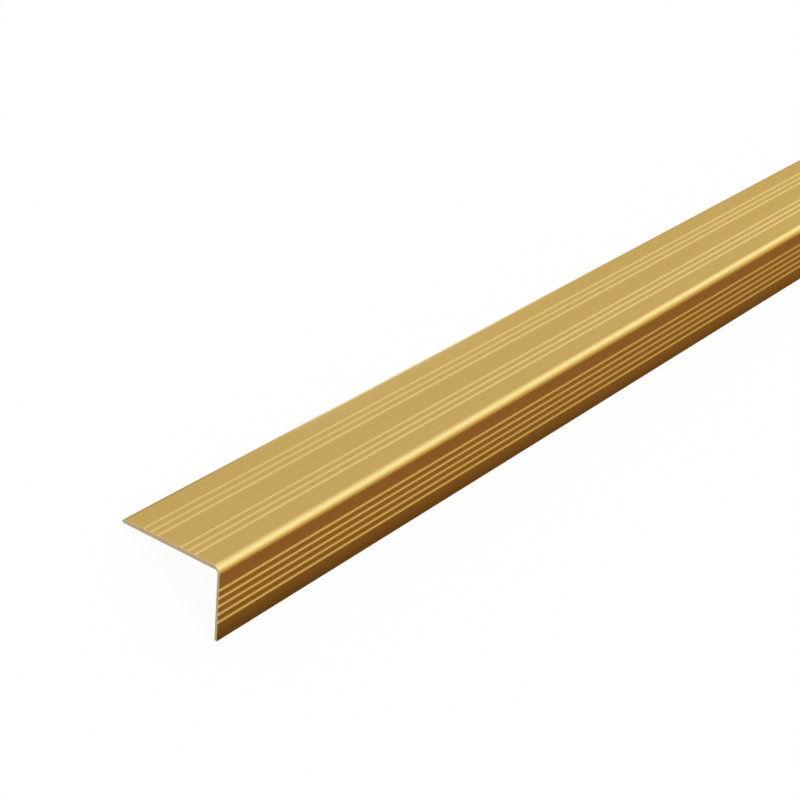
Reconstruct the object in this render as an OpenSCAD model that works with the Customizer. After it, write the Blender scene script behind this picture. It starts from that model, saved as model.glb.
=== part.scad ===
// Ribbed stair nosing: one extruded L-shaped bar with a rounded nose.
// It lies unheld on a floor, like a shallow roof on the edges of its two legs.
// X runs along the bar, Z is up, and the origin is under the middle of the bar.
// The section is drawn as it is fitted to a stair: its x axis runs back over the tread
// from the riser leg's outer face, and its y axis runs up from the tread leg's top face.

/* [Stock] */
// Length of the bar as sold
bar_length = 900; // [300:50:3000]

/* [Legs] */
// Width of the tread leg, from the riser leg's outer face to the back edge
tread_width = 42; // [40:0.5:80]
// Height of the riser leg, from the tread leg's top face to the lower edge
riser_height = 28; // [26:0.5:60]
// Wall thickness of the tread leg
tread_wall = 1.7; // [1:0.1:2]
// Wall thickness of the riser leg
riser_wall = 1.1; // [1:0.1:2]
// Outer radius of the nose, where the two legs meet
nose_radius = 3.2; // [2.8:0.1:5]
// Radius in the inner corner between the two legs
inner_radius = 0.8; // [0.2:0.1:0.8]
// Radius that rounds the tread leg's top face off towards its back edge
back_round_radius = 3.2; // [3:0.1:6]
// How far the top face falls there, at most 0.9 of the wall above the corner under it
back_fall_depth = 0.75; // [0.3:0.05:0.9]
// Corner radius under the back edge of the tread leg, at most 0.45 of its wall
back_edge_radius = 0.7; // [0.1:0.05:0.9]
// Corner radius along the lower edge of the riser leg, at most 0.45 of its wall
lower_edge_radius = 0.2; // [0.1:0.05:0.9]

/* [Ribs] */
// Width of a rib's sloping flank, on the side of the nose
rib_flank = 0.9; // [0.5:0.05:1.2]
// Width of a rib's steep back, on the side away from the nose
rib_back = 0.28; // [0.2:0.02:0.5]
// Height of a rib above the tread leg's face
tread_rib_height = 0.3; // [0.2:0.02:0.6]
// Height of a rib above the riser leg's face
riser_rib_height = 0.4; // [0.2:0.02:0.6]
// Distance from one rib to the next in a group
rib_pitch = 3; // [2.2:0.1:3.5]
// Number of ribs in each of the two groups on the tread leg
tread_group_ribs = 3; // [1:1:4]
// Distance from the back edge to the nearest rib on the tread leg
back_margin = 9; // [4:0.5:10]
// Distance from the riser leg's outer face to the nearest rib on the tread leg
nose_margin = 11; // [8:0.5:14]
// Number of ribs on the riser leg
riser_ribs = 5; // [1:1:5]
// Distance from the lower edge to the nearest rib on the riser leg
lower_margin = 7; // [4:0.5:10]

/* [Hidden] */
$fn = 96;

// Depth to which a rib is sunk into its leg
rib_root = min(tread_wall, riser_wall) / 4;

// Radii of the two free edges
back_edge = min(back_edge_radius, 0.45 * tread_wall);
lower_edge = min(lower_edge_radius, 0.45 * riser_wall);

// Height of the back rounding's top above the face, which it then meets at a slight angle
round_lift = 0.02;
// Depth of that rounding at the back edge, and its width
back_fall = min(back_fall_depth, 0.9 * (tread_wall - back_edge));
back_round_width = sqrt(pow(back_round_radius, 2) - pow(back_round_radius - round_lift - back_fall, 2));

// Run and rise between the centres of the two round corners that touch the floor
floor_run = tread_width - back_edge - (riser_wall - lower_edge);
floor_rise = riser_height - lower_edge - (tread_wall - back_edge);
// Angle by which the bar leans back until both of them touch it
rest_tilt = atan2(floor_rise, floor_run) - asin((back_edge - lower_edge) / norm([floor_run, floor_rise]));
// Height of the section's own origin above the floor in that attitude
rest_lift = (tread_width - back_edge) * sin(rest_tilt)
    + (tread_wall - back_edge) * cos(rest_tilt) + back_edge;
// Furthest reach of the back edge and of the lower edge, across the floor from that origin
rest_back = tread_width * cos(rest_tilt) - back_fall * sin(rest_tilt);
rest_front = (riser_height - lower_edge) * sin(rest_tilt) - lower_edge * cos(rest_tilt) + lower_edge;

// The riser leg, with two round corners at its lower edge
module riser_leg() {
    length = riser_height - nose_radius;
    translate([0, -nose_radius])
        rotate(-90) {
            square([length - lower_edge, riser_wall]);
            translate([length - 2 * lower_edge, lower_edge])
                square([2 * lower_edge, riser_wall - 2 * lower_edge]);
            for (y = [lower_edge, riser_wall - lower_edge])
                translate([length - lower_edge, y])
                    circle(lower_edge);
        }
}

// The tread leg, with one round corner under its back edge and its top face rounded off above it
module tread_leg() {
    difference() {
        translate([nose_radius, -tread_wall]) {
            length = tread_width - nose_radius;
            square([length - back_edge, 2 * back_edge]);
            translate([0, back_edge])
                square([length, tread_wall - back_edge]);
            translate([length - back_edge, back_edge])
                circle(back_edge);
        }
        translate([tread_width - back_round_width, round_lift - back_round_radius])
            difference() {
                square(back_round_width + back_round_radius);
                circle(back_round_radius);
            }
    }
}

// The open angle inside the two legs near the nose, with its round corner
module inner_corner() {
    start = riser_wall + inner_radius;
    depth = tread_wall + inner_radius;
    far = nose_radius + max(tread_wall, riser_wall);
    translate([start, -depth])
        circle(inner_radius);
    translate([start, -far])
        square([far - start, far - tread_wall]);
    translate([riser_wall, -far])
        square([far - riser_wall, far - depth]);
}

// The quarter turn between the two legs
module nose() {
    difference() {
        intersection() {
            translate([nose_radius, -nose_radius])
                circle(nose_radius);
            translate([0, -nose_radius])
                square(nose_radius);
        }
        inner_corner();
    }
}

// One anti-slip rib standing on the x axis with its crest at the origin and its flank towards -x
module rib(height) {
    spread = 1 + rib_root / height;
    polygon([[-rib_flank * spread, -rib_root], [rib_back * spread, -rib_root], [0, height]]);
}

// A group of ribs along x, the first of them at the origin
module rib_group(count, height) {
    for (i = [0 : count - 1])
        translate([i * rib_pitch, 0])
            rib(height);
}

// The whole section, as fitted to a stair
module section() {
    tread_group_width = (tread_group_ribs - 1) * rib_pitch;
    nose();
    tread_leg();
    riser_leg();
    translate([nose_margin, 0])
        rib_group(tread_group_ribs, tread_rib_height);
    translate([tread_width - back_margin - tread_group_width, 0])
        rib_group(tread_group_ribs, tread_rib_height);
    translate([0, lower_margin - riser_height])
        rotate(90)
            mirror([1, 0])
                translate([(1 - riser_ribs) * rib_pitch, 0])
                    rib_group(riser_ribs, riser_rib_height);
}

// The bar, lying on the floor
module stair_nosing() {
    color([0.77, 0.66, 0.39])
        rotate([90, 0, 90])
            linear_extrude(height = bar_length, center = true)
                translate([(rest_front - rest_back) / 2, rest_lift])
                    rotate(-rest_tilt)
                        section();
}

stair_nosing();
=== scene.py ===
from math import acos, asin, atan2, cos, degrees, hypot, pi, radians, sin, sqrt, tan
import bpy
from mathutils import Euler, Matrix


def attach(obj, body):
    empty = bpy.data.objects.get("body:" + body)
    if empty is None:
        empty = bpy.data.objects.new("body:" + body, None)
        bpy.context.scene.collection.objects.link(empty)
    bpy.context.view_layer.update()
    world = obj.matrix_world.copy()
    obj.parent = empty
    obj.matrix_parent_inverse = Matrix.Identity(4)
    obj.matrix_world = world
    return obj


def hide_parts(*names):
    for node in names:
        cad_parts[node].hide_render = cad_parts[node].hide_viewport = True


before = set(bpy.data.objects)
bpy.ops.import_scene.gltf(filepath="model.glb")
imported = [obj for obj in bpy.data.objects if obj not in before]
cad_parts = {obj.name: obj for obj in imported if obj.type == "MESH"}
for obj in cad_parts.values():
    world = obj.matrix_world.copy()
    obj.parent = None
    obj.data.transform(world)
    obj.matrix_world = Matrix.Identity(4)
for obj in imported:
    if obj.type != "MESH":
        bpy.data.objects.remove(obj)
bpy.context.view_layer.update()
print("frame loaded, nodes:", sorted(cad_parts))


# the bar, in mm, drawn as it sits on a stair: u runs back over the tread, v runs up
nosing = {
    "barLength": 900.0,
    "treadWidth": 42.0,
    "riserHeight": 28.0,
    "treadWall": 1.7,
    "riserWall": 1.1,
    "noseRadius": 3.2,
    "innerRadius": 0.8,
    "backRound": 3.2,  # rounding of the tread's top face towards its back edge
    "backFall": 0.75,  # and how far the face falls there
    "backEdge": 0.7,  # corner radii under the back edge and along the lower edge
    "lowerEdge": 0.2,
    "leastEdge": 0.005,  # what the end rounding leaves of an edge's radius
    # each rib has a long flank on the side of the nose and a short one on the other side
    "treadRib": {"height": 0.30, "long": 0.9, "short": 0.28},
    "riserRib": {"height": 0.40, "long": 0.9, "short": 0.28},
    "ribCrest": 0.2,  # rounding on top of a rib, and at its two feet
    "ribLongFoot": 0.6,
    "ribShortFoot": 0.08,
    "leastCrest": 0.01,  # what the end rounding leaves of a rib's crest
    "treadRibs": (33.0, 30.0, 27.0, 17.0, 14.0, 11.0),  # from the riser face, back to front
    "riserRibs": (-9.0, -12.0, -15.0, -18.0, -21.0),  # from the tread face down
    "deburr": 0.2,  # rounding round the sawn ends
    # how many steps each rounding is drawn in
    "noseSteps": 32,
    "innerSteps": 10,
    "backRoundSteps": 10,
    "backEdgeSteps": 8,
    "lowerEdgeSteps": 6,
    "longCrestSteps": 4,
    "shortCrestSteps": 6,
    "footSteps": 5,
    "deburrSteps": 4,
}
mmPerMetre = 1000
goldSlot, sawnSlot, filedHighlightSlot = 0, 1, 2  # the order of the bar's finishes


def arcRun(centreU, centreV, radius, start, stop, steps, hollow=False):
    # points along an arc as (u, v, normalU, normalV), angles in degrees
    run = []
    side = -1.0 if hollow else 1.0
    for i in range(steps + 1):
        a = radians(start + (stop - start) * i / steps)
        c, s = cos(a), sin(a)
        run.append((centreU + radius * c, centreV + radius * s, side * c, side * s))
    return run


def ribRun(spec, rib, atU, atV, alongU, alongV, longFirst, drawIn):
    # one rib met while walking along a face whose outside lies to the right of the walk
    outU, outV = alongV, -alongU
    side = 1.0 if longFirst else -1.0
    longSlope = atan2(rib["height"], rib["long"])
    shortSlope = atan2(rib["height"], rib["short"])
    # the crest's centre lies as far under both flanks
    lean = (longSlope - shortSlope) / 2
    deep = spec["ribCrest"] / cos((longSlope + shortSlope) / 2)
    midS, midH = side * deep * sin(lean), rib["height"] - deep * cos(lean)
    crest = max(spec["ribCrest"] - drawIn, spec["leastCrest"])
    flanks = (
        (rib["long"], longSlope, spec["ribLongFoot"], spec["longCrestSteps"], -side),
        (rib["short"], shortSlope, spec["ribShortFoot"], spec["shortCrestSteps"], side),
    )
    climbs = []  # each flank from its foot up to the middle of the crest
    for reach, slope, foot, crestSteps, sign in flanks:
        turn = sign * degrees(slope)
        footS = sign * (reach + foot * tan(slope / 2))
        climb = arcRun(footS, foot, foot + drawIn, -90, -90 - turn, spec["footSteps"], hollow=True)
        top = arcRun(midS, midH, crest, 90, 90 - turn, crestSteps)
        climbs.append(climb + top[::-1])
    first, second = climbs if longFirst else climbs[::-1]
    run = []
    for s, h, ns, nh in first + second[::-1][1:]:
        u = atU + s * alongU + h * outU
        v = atV + s * alongV + h * outV
        run.append((u, v, ns * alongU + nh * outU, ns * alongV + nh * outV))
    return run


def nosingOutline(spec, drawIn=0.0):
    # once round the section: over the tread, down the riser, and back along the inside
    left, right = drawIn, spec["treadWidth"] - drawIn
    under, down = drawIn - spec["treadWall"], drawIn - spec["riserHeight"]
    inside = spec["riserWall"] - drawIn
    back = max(spec["backEdge"] - drawIn, spec["leastEdge"])
    low = max(spec["lowerEdge"] - drawIn, spec["leastEdge"])
    nose, inner = spec["noseRadius"], spec["innerRadius"]
    top = spec["backRound"]
    reach = sqrt(top ** 2 - (top - spec["backFall"]) ** 2)  # width of the back rounding
    topStart = degrees(acos((reach - drawIn) / (top - drawIn)))
    topU = spec["treadWidth"] - reach
    run = arcRun(topU, -top, top - drawIn, topStart, 90, spec["backRoundSteps"])
    for u in spec["treadRibs"]:
        run += ribRun(spec, spec["treadRib"], u, 0.0, -1.0, 0.0, False, drawIn)
    run += arcRun(nose, -nose, nose - drawIn, 90, 180, spec["noseSteps"])
    for v in spec["riserRibs"]:
        run += ribRun(spec, spec["riserRib"], 0.0, v, 0.0, -1.0, True, drawIn)
    run += arcRun(left + low, down + low, low, 180, 270, spec["lowerEdgeSteps"])
    outside = len(run)  # the points so far lie on the outside of the angle
    run += arcRun(inside - low, down + low, low, 270, 360, spec["lowerEdgeSteps"])
    cornerU, cornerV = spec["riserWall"] + inner, -spec["treadWall"] - inner
    run += arcRun(cornerU, cornerV, inner + drawIn, 180, 90, spec["innerSteps"], hollow=True)
    run += arcRun(right - back, under + back, back, 270, 360, spec["backEdgeSteps"])
    return run, outside


def layDown(spec, run):
    # leans the section back until the edges of both legs touch the floor, in metres
    back, low = spec["backEdge"], spec["lowerEdge"]
    apart = spec["treadWidth"] - back - spec["riserWall"] + low
    rise = spec["riserHeight"] - low - spec["treadWall"] + back
    lean = atan2(rise, apart) - asin((back - low) / hypot(apart, rise))
    c, s = cos(lean), sin(lean)
    lift = (spec["treadWidth"] - back) * s + (spec["treadWall"] - back) * c + back
    # the bar is set midway between its furthest reach to the back and to the front
    behind = spec["treadWidth"] * c - spec["backFall"] * s
    ahead = (spec["riserHeight"] - low) * s - low * c + low
    shift = (ahead - behind) / 2
    laid = []
    for u, v, nu, nv in run:
        y, z = u * c + v * s + shift, v * c - u * s + lift
        laid.append((y / mmPerMetre, z / mmPerMetre, nu * c + nv * s, nv * c - nu * s))
    return laid


def buildNosing(spec):
    section, outside = nosingOutline(spec)
    run = layDown(spec, section)
    count = len(run)
    half = spec["barLength"] / 2 / mmPerMetre
    burr = spec["deburr"]
    steps = spec["deburrSteps"]
    # each ring: place along the bar, how far it is drawn in, and its normals' turn to the end
    rings = []
    for k in range(steps + 1):
        a = pi / 2 * k / steps
        rings.append((half - burr * (1 - sin(a)) / mmPerMetre, burr * (1 - cos(a)), a))
    rings = [(-x, drawIn, -turn) for x, drawIn, turn in rings[::-1]] + rings
    girth = [0.0]  # distance round the section
    for i in range(count):
        p, q = run[i], run[(i + 1) % count]
        girth.append(girth[-1] + sqrt((q[0] - p[0]) ** 2 + (q[1] - p[1]) ** 2))
    verts = []
    normals = []
    for x, drawIn, turn in rings:
        for y, z, ny, nz in layDown(spec, nosingOutline(spec, drawIn)[0]):
            verts.append((x, y, z))
            normals.append((sin(turn), ny * cos(turn), nz * cos(turn)))
    faces = []
    finish = []
    loopNormals = []
    loopUvs = []
    for r in range(len(rings) - 1):
        for i in range(count):
            j = (i + 1) % count
            near, far = girth[i], girth[i + 1]
            corners = ((r, i, near), (r, j, far), (r + 1, j, far), (r + 1, i, near))
            faces.append([ring * count + k for ring, k, along in corners])
            # the outer rounded edges take filed metal painted paler as a highlight, the inner ones
            # keep the sawn colour
            rounded = filedHighlightSlot if i < outside else sawnSlot
            finish.append(goldSlot if r == steps else rounded)
            loopNormals += [normals[ring * count + k] for ring, k, along in corners]
            loopUvs += [(rings[ring][0], along) for ring, k, along in corners]
    for ring, order in ((0, range(count - 1, -1, -1)), (len(rings) - 1, range(count))):
        end = [ring * count + k for k in order]
        faces.append(end)
        finish.append(sawnSlot)
        loopNormals += [(-1.0 if ring == 0 else 1.0, 0.0, 0.0)] * count
        loopUvs += [(verts[k][1], verts[k][2]) for k in end]
    mesh = bpy.data.meshes.new("nosingBar")
    mesh.from_pydata(verts, [], faces)
    mesh.polygons.foreach_set("material_index", finish)
    mesh.polygons.foreach_set("use_smooth", [True] * len(faces))
    layer = mesh.uv_layers.new(name="alongBar")
    layer.data.foreach_set("uv", [c for uv in loopUvs for c in uv])
    mesh.normals_split_custom_set(loopNormals)
    mesh.update()
    bar = bpy.data.objects.new("nosingBar", mesh)
    bpy.context.scene.collection.objects.link(bar)
    print("bar built:", len(verts), "points,", len(faces), "faces")
    return bar


def startMaterial(name):
    material = bpy.data.materials.new(name)
    material.use_nodes = True
    nodes = material.node_tree.nodes
    links = material.node_tree.links
    nodes.clear()
    return material, nodes, links


def addNode(nodes, kind, place, values=None, **settings):
    # values go to the node's sockets by name, settings to the node itself
    node = nodes.new(kind)
    node.location = place
    for key, value in settings.items():
        setattr(node, key, value)
    for key, value in (values or {}).items():
        node.inputs[key].default_value = value
    return node


def startMetal(name, values):
    material, nodes, links = startMaterial(name)
    out = addNode(nodes, "ShaderNodeOutputMaterial", (900, 0))
    metal = addNode(nodes, "ShaderNodeBsdfPrincipled", (600, 0), {"Metallic": 1.0, **values})
    links.new(metal.outputs[0], out.inputs[0])
    return material, nodes, links, metal


def addRamp(nodes, place, tones):
    ramp = addNode(nodes, "ShaderNodeValToRGB", place)
    stops = ramp.color_ramp.elements
    for at, tone in tones[1:-1]:
        stops.new(at)
    for stop, (at, tone) in zip(stops, tones):
        stop.position = at
        stop.color = tone
    return ramp


goldFinish = {
    "paleGold": (0.58, 0.405, 0.138, 1),
    "deepGold": (0.535, 0.362, 0.110, 1),
    "grazingGold": (0.94, 0.80, 0.52, 1),
    "roughLow": 0.30,
    "roughHigh": 0.35,
    "acrossLines": 0.35,  # anisotropy of the fine lines along the bar
    "fineLines": (4.0, 5200.0, 1.0),  # noise per metre, along the bar and round it
    "broadBands": (1.6, 420.0, 1.0),
    "bandShare": 0.45,  # share of the broad bands in the tint
    "deepAt": 0.3,  # noise levels of the deepest and the palest gold
    "paleAt": 0.7,
    "lineHeight": 0.000004,  # m
    "lineStrength": 0.5,
    "grainPitch": 5200.0,  # grains per metre
    "grainHeight": 0.000001,
    "grainStrength": 0.4,
}


def goldAnodised(look):
    material, nodes, links, metal = startMetal("goldAnodised", {
        "Anisotropic": look["acrossLines"],
        "Specular Tint": look["grazingGold"],
    })
    tangent = addNode(nodes, "ShaderNodeTangent", (350, -500),
                      direction_type="UV_MAP", uv_map="alongBar")
    links.new(tangent.outputs[0], metal.inputs["Tangent"])
    uv = addNode(nodes, "ShaderNodeUVMap", (-900, 0), uv_map="alongBar")
    # fine die lines that run along the bar
    fineMap = addNode(nodes, "ShaderNodeMapping", (-700, 150), {"Scale": look["fineLines"]})
    links.new(uv.outputs[0], fineMap.inputs[0])
    fine = addNode(nodes, "ShaderNodeTexNoise", (-500, 150),
                   {"Scale": 1.0, "Detail": 3.0, "Roughness": 0.6})
    links.new(fineMap.outputs[0], fine.inputs["Vector"])
    # broader bands left by the die and the etch bath
    bandMap = addNode(nodes, "ShaderNodeMapping", (-700, -150), {"Scale": look["broadBands"]})
    links.new(uv.outputs[0], bandMap.inputs[0])
    band = addNode(nodes, "ShaderNodeTexNoise", (-500, -150),
                   {"Scale": 1.0, "Detail": 2.0, "Roughness": 0.5})
    links.new(bandMap.outputs[0], band.inputs["Vector"])
    # etched grain, the same in every direction
    spot = addNode(nodes, "ShaderNodeTexCoord", (-900, -420))
    grain = addNode(nodes, "ShaderNodeTexNoise", (-500, -420),
                    {"Scale": look["grainPitch"], "Detail": 2.0, "Roughness": 0.55})
    links.new(spot.outputs["Object"], grain.inputs["Vector"])
    shade = addNode(nodes, "ShaderNodeMix", (-250, 150), data_type="FLOAT")
    shade.inputs[0].default_value = look["bandShare"]
    links.new(fine.outputs[0], shade.inputs[2])
    links.new(band.outputs[0], shade.inputs[3])
    tint = addRamp(nodes, (0, 200), ((look["deepAt"], look["deepGold"]),
                                     (look["paleAt"], look["paleGold"])))
    links.new(shade.outputs[0], tint.inputs[0])
    links.new(tint.outputs[0], metal.inputs["Base Color"])
    rough = addNode(nodes, "ShaderNodeMapRange", (0, -80), {
        "From Min": look["deepAt"],
        "From Max": look["paleAt"],
        "To Min": look["roughHigh"],
        "To Max": look["roughLow"],
    })
    links.new(shade.outputs[0], rough.inputs[0])
    links.new(rough.outputs[0], metal.inputs["Roughness"])
    lineBump = addNode(nodes, "ShaderNodeBump", (50, -320),
                       {"Strength": look["lineStrength"], "Distance": look["lineHeight"]})
    links.new(fine.outputs[0], lineBump.inputs["Height"])
    grainBump = addNode(nodes, "ShaderNodeBump", (300, -320),
                        {"Strength": look["grainStrength"], "Distance": look["grainHeight"]})
    links.new(grain.outputs[0], grainBump.inputs["Height"])
    links.new(lineBump.outputs[0], grainBump.inputs["Normal"])
    links.new(grainBump.outputs[0], metal.inputs["Normal"])
    return material


sawnFinish = {
    "paleCut": (0.51, 0.40, 0.225, 1),
    "darkCut": (0.44, 0.345, 0.19, 1),
    "roughLow": 0.34,
    "roughHigh": 0.46,
    "toothPitch": 0.0004,  # m between saw marks
    "waveTurn": 0.314,  # scale times pitch of a wave texture
    "waver": 1.5,
    "bladeCentre": (0.0, 0.04, 0.15),  # m in front of the bar and below it
    "markDepth": 0.00001,
    "markStrength": 0.5,
}


def sawnEnd(look):
    material, nodes, links, metal = startMetal("sawnEnd", {})
    # arcs of the saw blade, from a centre well below the bar
    spot = addNode(nodes, "ShaderNodeTexCoord", (-900, 0))
    shift = addNode(nodes, "ShaderNodeMapping", (-700, 0), {"Location": look["bladeCentre"]})
    links.new(spot.outputs["Object"], shift.inputs[0])
    arcs = addNode(nodes, "ShaderNodeTexWave", (-450, 0), {
        "Scale": look["waveTurn"] / look["toothPitch"],
        "Distortion": look["waver"],
        "Detail": 2.0,
        "Detail Scale": 1.4,
    }, wave_type="RINGS", rings_direction="X")
    links.new(shift.outputs[0], arcs.inputs["Vector"])
    tint = addRamp(nodes, (-150, 150), ((0.0, look["darkCut"]), (1.0, look["paleCut"])))
    links.new(arcs.outputs[1], tint.inputs[0])
    links.new(tint.outputs[0], metal.inputs["Base Color"])
    rough = addNode(nodes, "ShaderNodeMapRange", (-150, -100),
                    {"To Min": look["roughHigh"], "To Max": look["roughLow"]})
    links.new(arcs.outputs[1], rough.inputs[0])
    links.new(rough.outputs[0], metal.inputs["Roughness"])
    bump = addNode(nodes, "ShaderNodeBump", (100, -300),
                   {"Strength": look["markStrength"], "Distance": look["markDepth"]})
    links.new(arcs.outputs[1], bump.inputs["Height"])
    links.new(bump.outputs[0], metal.inputs["Normal"])
    return material


# filed bare metal for the outer rounded edges of the sawn ends, paler than the cut: partly a
# painted highlight
filedHighlightFinish = {
    "brightCut": (0.65, 0.48, 0.225, 1),
    "dullCut": (0.59, 0.43, 0.195, 1),
    "dullAt": 0.35,  # noise levels of the dullest and the brightest marks
    "brightAt": 0.65,
    "rough": 0.36,
    "strokes": 2600.0,  # file marks per metre
}


def filedHighlightEdge(look):
    material, nodes, links, metal = startMetal("filedHighlightEdge", {"Roughness": look["rough"]})
    spot = addNode(nodes, "ShaderNodeTexCoord", (-700, 0))
    marks = addNode(nodes, "ShaderNodeTexNoise", (-450, 0),
                    {"Scale": look["strokes"], "Detail": 2.0, "Roughness": 0.6})
    links.new(spot.outputs["Object"], marks.inputs["Vector"])
    tint = addRamp(nodes, (-150, 100), ((look["dullAt"], look["dullCut"]),
                                        (look["brightAt"], look["brightCut"])))
    links.new(marks.outputs[0], tint.inputs[0])
    links.new(tint.outputs[0], metal.inputs["Base Color"])
    return material


bar = buildNosing(nosing)
bar.data.materials.append(goldAnodised(goldFinish))
bar.data.materials.append(sawnEnd(sawnFinish))
bar.data.materials.append(filedHighlightEdge(filedHighlightFinish))
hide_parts("stair_nosing")
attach(bar, "root")
print("finishes set:", [m.name for m in bar.data.materials])


studio = {
    "floorSize": 8.0,
    "floorLevel": -0.0001,  # just under the bar
    "floorColour": (0.95, 0.95, 0.95, 1),
    "floorGlow": 0.95,  # share of plain white in the floor, the rest takes light and shadow
    "white": (1, 1, 1, 1),
    "ambient": 1.0,
    "seenWorld": 1.0,
}


def joinRays(nodes, links, place):
    # 1 for what the camera sees, straight, mirrored or through glass
    x, y = place
    path = addNode(nodes, "ShaderNodeLightPath", place)
    first = addNode(nodes, "ShaderNodeMath", (x + 200, y), operation="MAXIMUM")
    both = addNode(nodes, "ShaderNodeMath", (x + 400, y), operation="MAXIMUM")
    links.new(path.outputs["Is Camera Ray"], first.inputs[0])
    links.new(path.outputs["Is Glossy Ray"], first.inputs[1])
    links.new(first.outputs[0], both.inputs[0])
    links.new(path.outputs["Is Transmission Ray"], both.inputs[1])
    return both


def flatPiece(name, corners):
    mesh = bpy.data.meshes.new(name)
    mesh.from_pydata(corners, [], [(0, 1, 2, 3)])
    piece = bpy.data.objects.new(name, mesh)
    bpy.context.scene.collection.objects.link(piece)
    return piece


def addFloor(look):
    s, z = look["floorSize"] / 2, look["floorLevel"]
    floor = flatPiece("floor", [(-s, -s, z), (s, -s, z), (s, s, z), (-s, s, z)])
    material, nodes, links = startMaterial("paleFloor")
    out = addNode(nodes, "ShaderNodeOutputMaterial", (800, 0))
    mix = addNode(nodes, "ShaderNodeMixShader", (600, 0))
    links.new(mix.outputs[0], out.inputs[0])
    rays = joinRays(nodes, links, (-400, 200))
    share = addNode(nodes, "ShaderNodeMath", (250, 200), operation="MULTIPLY")
    share.inputs[1].default_value = look["floorGlow"]
    links.new(rays.outputs[0], share.inputs[0])
    links.new(share.outputs[0], mix.inputs[0])
    matt = addNode(nodes, "ShaderNodeBsdfDiffuse", (300, 0), {"Color": look["floorColour"]})
    white = addNode(nodes, "ShaderNodeEmission", (300, -150), {"Color": look["white"]})
    links.new(matt.outputs[0], mix.inputs[1])
    links.new(white.outputs[0], mix.inputs[2])
    floor.data.materials.append(material)


def addSheet(name, rails, along, look):
    # a glowing sheet from rail to rail, with its tones spread along the rails;
    # only reflections see it
    count = len(along)
    faces = []
    for r in range(len(rails) - 1):
        a, b = r * count, (r + 1) * count
        faces += [(a + i, a + i + 1, b + i + 1, b + i) for i in range(count - 1)]
    mesh = bpy.data.meshes.new(name)
    mesh.from_pydata([place for rail in rails for place in rail], [], faces)
    layer = mesh.uv_layers.new(name="alongRail")
    for loop in mesh.loops:
        layer.data[loop.index].uv = (along[loop.vertex_index % count], 0.5)
    sheet = bpy.data.objects.new(name, mesh)
    bpy.context.scene.collection.objects.link(sheet)
    sheet.visible_camera = False
    sheet.visible_diffuse = False
    sheet.visible_transmission = False
    sheet.visible_shadow = False
    material, nodes, links = startMaterial(name)
    out = addNode(nodes, "ShaderNodeOutputMaterial", (500, 0))
    glow = addNode(nodes, "ShaderNodeEmission", (300, 0), {"Strength": look["strength"]})
    links.new(glow.outputs[0], out.inputs[0])
    uv = addNode(nodes, "ShaderNodeUVMap", (-400, 0), uv_map="alongRail")
    split = addNode(nodes, "ShaderNodeSeparateXYZ", (-200, 0))
    links.new(uv.outputs[0], split.inputs[0])
    # a ramp's colours stay under 1, so the strength carries the rest
    tones = [(at, [c / look["strength"] for c in tone] + [1.0]) for at, tone in look["tones"]]
    ramp = addRamp(nodes, (0, 0), tones)
    links.new(split.outputs[0], ramp.inputs[0])
    links.new(ramp.outputs[0], glow.inputs[0])
    mesh.materials.append(material)


arch = {
    "foot": 0.0254,  # where the sheet starts, in front of the bar
    "level": 0.0003,  # just above the floor
    "radius": 0.6,
    "ends": 168,  # degrees from the front, over the top, to the back of the arch
    # places along the bar, and the degrees of the brightest line there
    "crests": ((-1.2, 71), (0.0, 73), (0.25, 83), (0.5, 94), (0.75, 103), (1.0, 108), (2.4, 108)),
    "steps": 20,  # up to the brightest line, and on from there
    "strength": 3.5,
    # tones run from the foot over the floor in front, up to the brightest line, and to the back;
    # the brown over the floor is painted shade for the riser to mirror, darkest at the foot as a
    # painted contact shadow
    "floorEnd": 0.5,
    "crestAt": 0.8,
    "tones": (
        (0.000, (0.13, 0.062, 0.008)),
        (0.006, (0.11, 0.053, 0.007)),
        (0.012, (0.15, 0.075, 0.010)),
        (0.018, (0.36, 0.186, 0.056)),
        (0.026, (0.61, 0.321, 0.156)),
        (0.044, (0.51, 0.270, 0.155)),
        (0.080, (0.34, 0.179, 0.122)),
        (0.120, (0.30, 0.157, 0.112)),
        (0.500, (0.30, 0.157, 0.110)),
        (0.548, (0.57, 0.395, 0.198)),
        (0.590, (0.78, 0.610, 0.338)),
        (0.629, (1.01, 0.860, 0.515)),
        (0.668, (1.23, 1.135, 0.740)),
        (0.704, (1.43, 1.430, 1.080)),
        (0.746, (1.66, 1.830, 1.960)),
        (0.800, (1.96, 2.440, 3.450)),
        (0.852, (1.67, 1.960, 2.620)),
        (0.900, (1.43, 1.530, 1.860)),
        (0.945, (1.14, 1.150, 1.170)),
        (0.970, (0.97, 0.965, 0.960)),
        (1.000, (0.94, 0.940, 0.940)),
    ),
}


def addArch(look):
    # brown in front of the bar and pale above it; the brown is painted shade that the riser
    # mirrors
    foot, level, radius = look["foot"], look["level"], look["radius"]
    shares = [i / look["steps"] for i in range(1, look["steps"] + 1)]
    floorEnd, crestAt = look["floorEnd"], look["crestAt"]
    along = [0.0, floorEnd]
    along += [floorEnd + (crestAt - floorEnd) * share for share in shares]
    along += [crestAt + (1 - crestAt) * share for share in shares]
    rails = []
    for x, crest in look["crests"]:
        turns = [crest * share for share in shares]
        turns += [crest + (look["ends"] - crest) * share for share in shares]
        rail = [(x, -foot, level), (x, -radius, level)]
        for turn in turns:
            a = radians(turn)
            rail.append((x, -radius * cos(a), level + radius * sin(a)))
        rails.append(rail)
    addSheet("lightAndShadeArch", rails, along, look)


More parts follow.
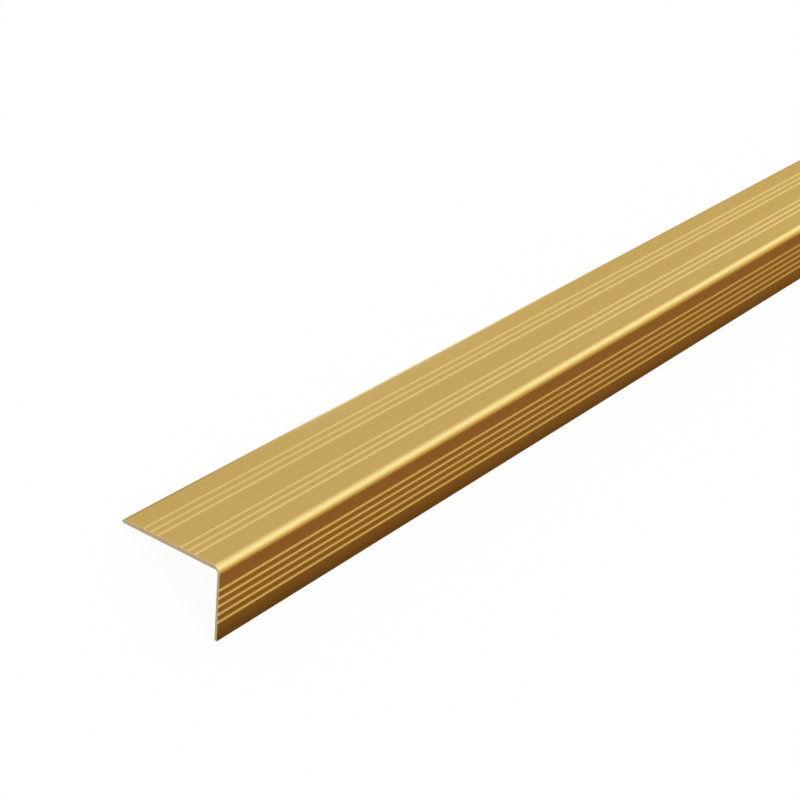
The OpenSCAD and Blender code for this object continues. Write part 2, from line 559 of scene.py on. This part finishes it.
backHighlightCard = {
    "near": 0.0254,  # from the bar's back edge, over the floor behind it
    "far": 0.040,
    "level": 0.0003,
    "start": -0.5,  # its ends along the bar
    "stop": 0.5,
    "steps": 20,
    "strength": 5.0,
    # tones along the bar: dim grey at the near end, a bright painted highlight, then plain pale
    "tones": (
        (0.00, (0.66, 0.66, 0.64)),
        (0.09, (0.68, 0.68, 0.66)),
        (0.13, (1.05, 1.15, 1.50)),
        (0.17, (1.55, 2.10, 4.20)),
        (0.25, (1.50, 2.00, 3.90)),
        (0.29, (1.24, 1.48, 2.20)),
        (0.34, (1.06, 1.14, 1.40)),
        (0.40, (0.88, 0.88, 0.88)),
        (1.00, (0.90, 0.90, 0.90)),
    ),
}


def addBackHighlightCard(look):
    # a glowing card lying on the floor behind the bar, for the rounded back edge to mirror: a
    # painted highlight on that edge over part of the bar, dimmer grey towards the near end
    along = [i / look["steps"] for i in range(look["steps"] + 1)]
    places = [look["start"] + (look["stop"] - look["start"]) * a for a in along]
    rails = [[(x, y, look["level"]) for x in places] for y in (look["near"], look["far"])]
    addSheet("backHighlightCard", rails, along, look)


def addWorld(look):
    world = bpy.data.worlds.new("studioWorld")
    world.use_nodes = True
    nodes = world.node_tree.nodes
    links = world.node_tree.links
    nodes.clear()
    out = addNode(nodes, "ShaderNodeOutputWorld", (800, 0))
    mix = addNode(nodes, "ShaderNodeMixShader", (600, 0))
    links.new(mix.outputs[0], out.inputs[0])
    rays = joinRays(nodes, links, (-400, 200))
    links.new(rays.outputs[0], mix.inputs[0])
    room = addNode(nodes, "ShaderNodeBackground", (300, 0),
                   {"Color": look["white"], "Strength": look["ambient"]})
    seen = addNode(nodes, "ShaderNodeBackground", (300, -150),
                   {"Color": look["white"], "Strength": look["seenWorld"]})
    links.new(room.outputs[0], mix.inputs[1])
    links.new(seen.outputs[0], mix.inputs[2])
    bpy.context.scene.world = world


addFloor(studio)
addArch(arch)
addBackHighlightCard(backHighlightCard)
addWorld(studio)
print("studio set")


camera = {
    "place": (-0.86464, -0.11346, 0.50768),
    "turn": (39.7819, -29.9475, -45.9223),  # degrees
    "lens": 92.605,
    "sensorWidth": 36.0,
    "clipStart": 0.01,
}


def addCamera(look):
    data = bpy.data.cameras.new("photoCamera")
    data.lens = look["lens"]
    data.sensor_width = look["sensorWidth"]
    data.clip_start = look["clipStart"]
    eye = bpy.data.objects.new("photoCamera", data)
    eye.location = look["place"]
    eye.rotation_euler = Euler([radians(a) for a in look["turn"]], "XYZ")
    bpy.context.scene.collection.objects.link(eye)
    bpy.context.scene.camera = eye


addCamera(camera)
bpy.context.scene.view_settings.view_transform = "Standard"
print("camera set")
